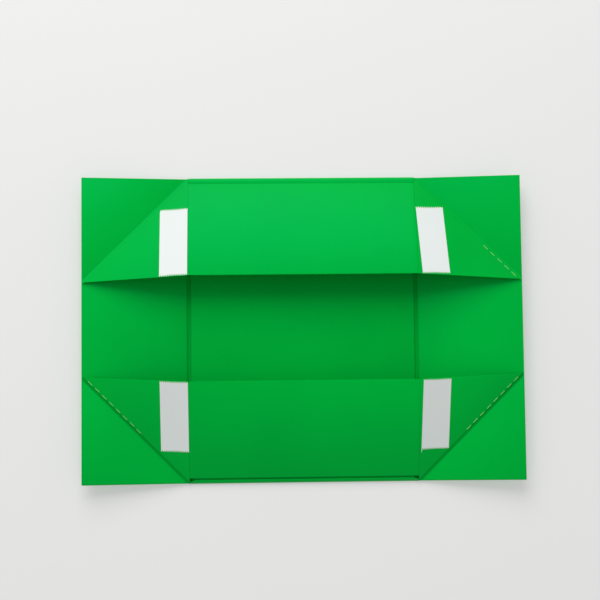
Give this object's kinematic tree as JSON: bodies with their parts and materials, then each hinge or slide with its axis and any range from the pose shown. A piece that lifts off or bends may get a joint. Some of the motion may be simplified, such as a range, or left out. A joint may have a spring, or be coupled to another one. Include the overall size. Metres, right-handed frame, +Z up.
{
  "type": "collapsible storage box",
  "caption": "Collapsible rigid paper-covered box tray, half folded: long walls fold in, end walls fold out, joined by creased corner gussets with taped flaps.",
  "frame": {"origin": "middle of the underside of the base panel, on the surface the box lies on", "axes": "+X to the right end wall, +Y to the rear long wall, +Z up"},
  "size_m": [0.439, 0.305, 0.0354],
  "materials": {
    "cover_paper": "satin green cover paper with a faint grain",
    "lining_paper": "satin green lining paper",
    "greyboard": "raw matt greyboard",
    "tape_adhesive": "clear tacky adhesive film",
    "release_liner": "smooth white siliconised paper"
  },
  "bodies": {
    "base": {"base_cover": "cover_paper", "base_board": "greyboard", "base_liner": "lining_paper", "rear_wall_spine": "cover_paper", "front_wall_spine": "cover_paper", "left_end_crease": "cover_paper", "right_end_crease": "cover_paper"},
    "rear_wall": {"rear_wall_cover": "cover_paper", "rear_wall_board": "greyboard", "rear_wall_liner": "lining_paper"},
    "front_wall": {"front_wall_cover": "cover_paper", "front_wall_board": "greyboard", "front_wall_liner": "lining_paper"},
    "left_end_wall": {"left_end_cover": "cover_paper", "left_end_board": "greyboard", "left_end_liner": "lining_paper", "rear_left_anchor": "cover_paper", "front_left_anchor": "cover_paper", "rear_left_gusset_fold": "cover_paper", "front_left_gusset_fold": "cover_paper"},
    "right_end_wall": {"right_end_cover": "cover_paper", "right_end_board": "greyboard", "right_end_liner": "lining_paper", "rear_right_anchor": "cover_paper", "front_right_anchor": "cover_paper", "rear_right_gusset_fold": "cover_paper", "front_right_gusset_fold": "cover_paper"},
    "rear_left_flap": {"rear_left_flap_card": "greyboard", "rear_left_flap_cover": "cover_paper", "rear_left_tape_adhesive": "tape_adhesive", "rear_left_tape_liner": "release_liner"},
    "rear_right_flap": {"rear_right_flap_card": "greyboard", "rear_right_flap_cover": "cover_paper", "rear_right_tape_adhesive": "tape_adhesive", "rear_right_tape_liner": "release_liner"},
    "front_left_flap": {"front_left_flap_card": "greyboard", "front_left_flap_cover": "cover_paper", "front_left_tape_adhesive": "tape_adhesive", "front_left_tape_liner": "release_liner"},
    "front_right_flap": {"front_right_flap_card": "greyboard", "front_right_flap_cover": "cover_paper", "front_right_tape_adhesive": "tape_adhesive", "front_right_tape_liner": "release_liner"}
  },
  "joints": [
    {"name": "rear_wall_fold", "type": "hinge", "parent": "base", "child": "rear_wall", "pos_m": [0, 0.1512, 0.0029], "axis": [-1, 0, 0], "range_deg": [-7.9, 72.5]},
    {"name": "front_wall_fold", "type": "hinge", "parent": "base", "child": "front_wall", "pos_m": [0, -0.1512, 0.0029], "axis": [1, 0, 0], "range_deg": [-7.9, 72.5]},
    {"name": "right_end_fold", "type": "hinge", "parent": "base", "child": "right_end_wall", "pos_m": [0.114, 0, 0.0003], "axis": [0, -1, 0], "range_deg": [-8.84, 81.15]},
    {"name": "left_end_fold", "type": "hinge", "parent": "base", "child": "left_end_wall", "pos_m": [-0.114, 0, 0.0003], "axis": [0, 1, 0], "range_deg": [-8.84, 81.15]},
    {"name": "rear_left_flap_fold", "type": "hinge", "parent": "left_end_wall", "child": "rear_left_flap", "pos_m": [-0.11353, 0.1525, 0.00331], "axis": [-0.6987, -0.7071, 0.1088], "range_deg": [-16.91, 155.16]},
    {"name": "rear_right_flap_fold", "type": "hinge", "parent": "right_end_wall", "child": "rear_right_flap", "pos_m": [0.11353, 0.1525, 0.00331], "axis": [-0.6987, 0.7071, -0.1088], "range_deg": [-16.91, 155.16]},
    {"name": "front_left_flap_fold", "type": "hinge", "parent": "left_end_wall", "child": "front_left_flap", "pos_m": [-0.11353, -0.1525, 0.00331], "axis": [0.6987, -0.7071, -0.1088], "range_deg": [-16.91, 155.16]},
    {"name": "front_right_flap_fold", "type": "hinge", "parent": "right_end_wall", "child": "front_right_flap", "pos_m": [0.11353, -0.1525, 0.00331], "axis": [0.6987, 0.7071, 0.1088], "range_deg": [-16.91, 155.16]}
  ],
  "couplings": [
    {"joint": "front_wall_fold", "follows": "rear_wall_fold", "ratio": 1},
    {"joint": "right_end_fold", "follows": "rear_wall_fold", "ratio": 1.1193},
    {"joint": "left_end_fold", "follows": "rear_wall_fold", "ratio": 1.1193},
    {"joint": "rear_left_flap_fold", "follows": "rear_wall_fold", "ratio": 2.14},
    {"joint": "rear_right_flap_fold", "follows": "rear_wall_fold", "ratio": 2.14},
    {"joint": "front_left_flap_fold", "follows": "rear_wall_fold", "ratio": 2.14},
    {"joint": "front_right_flap_fold", "follows": "rear_wall_fold", "ratio": 2.14}
  ]
}
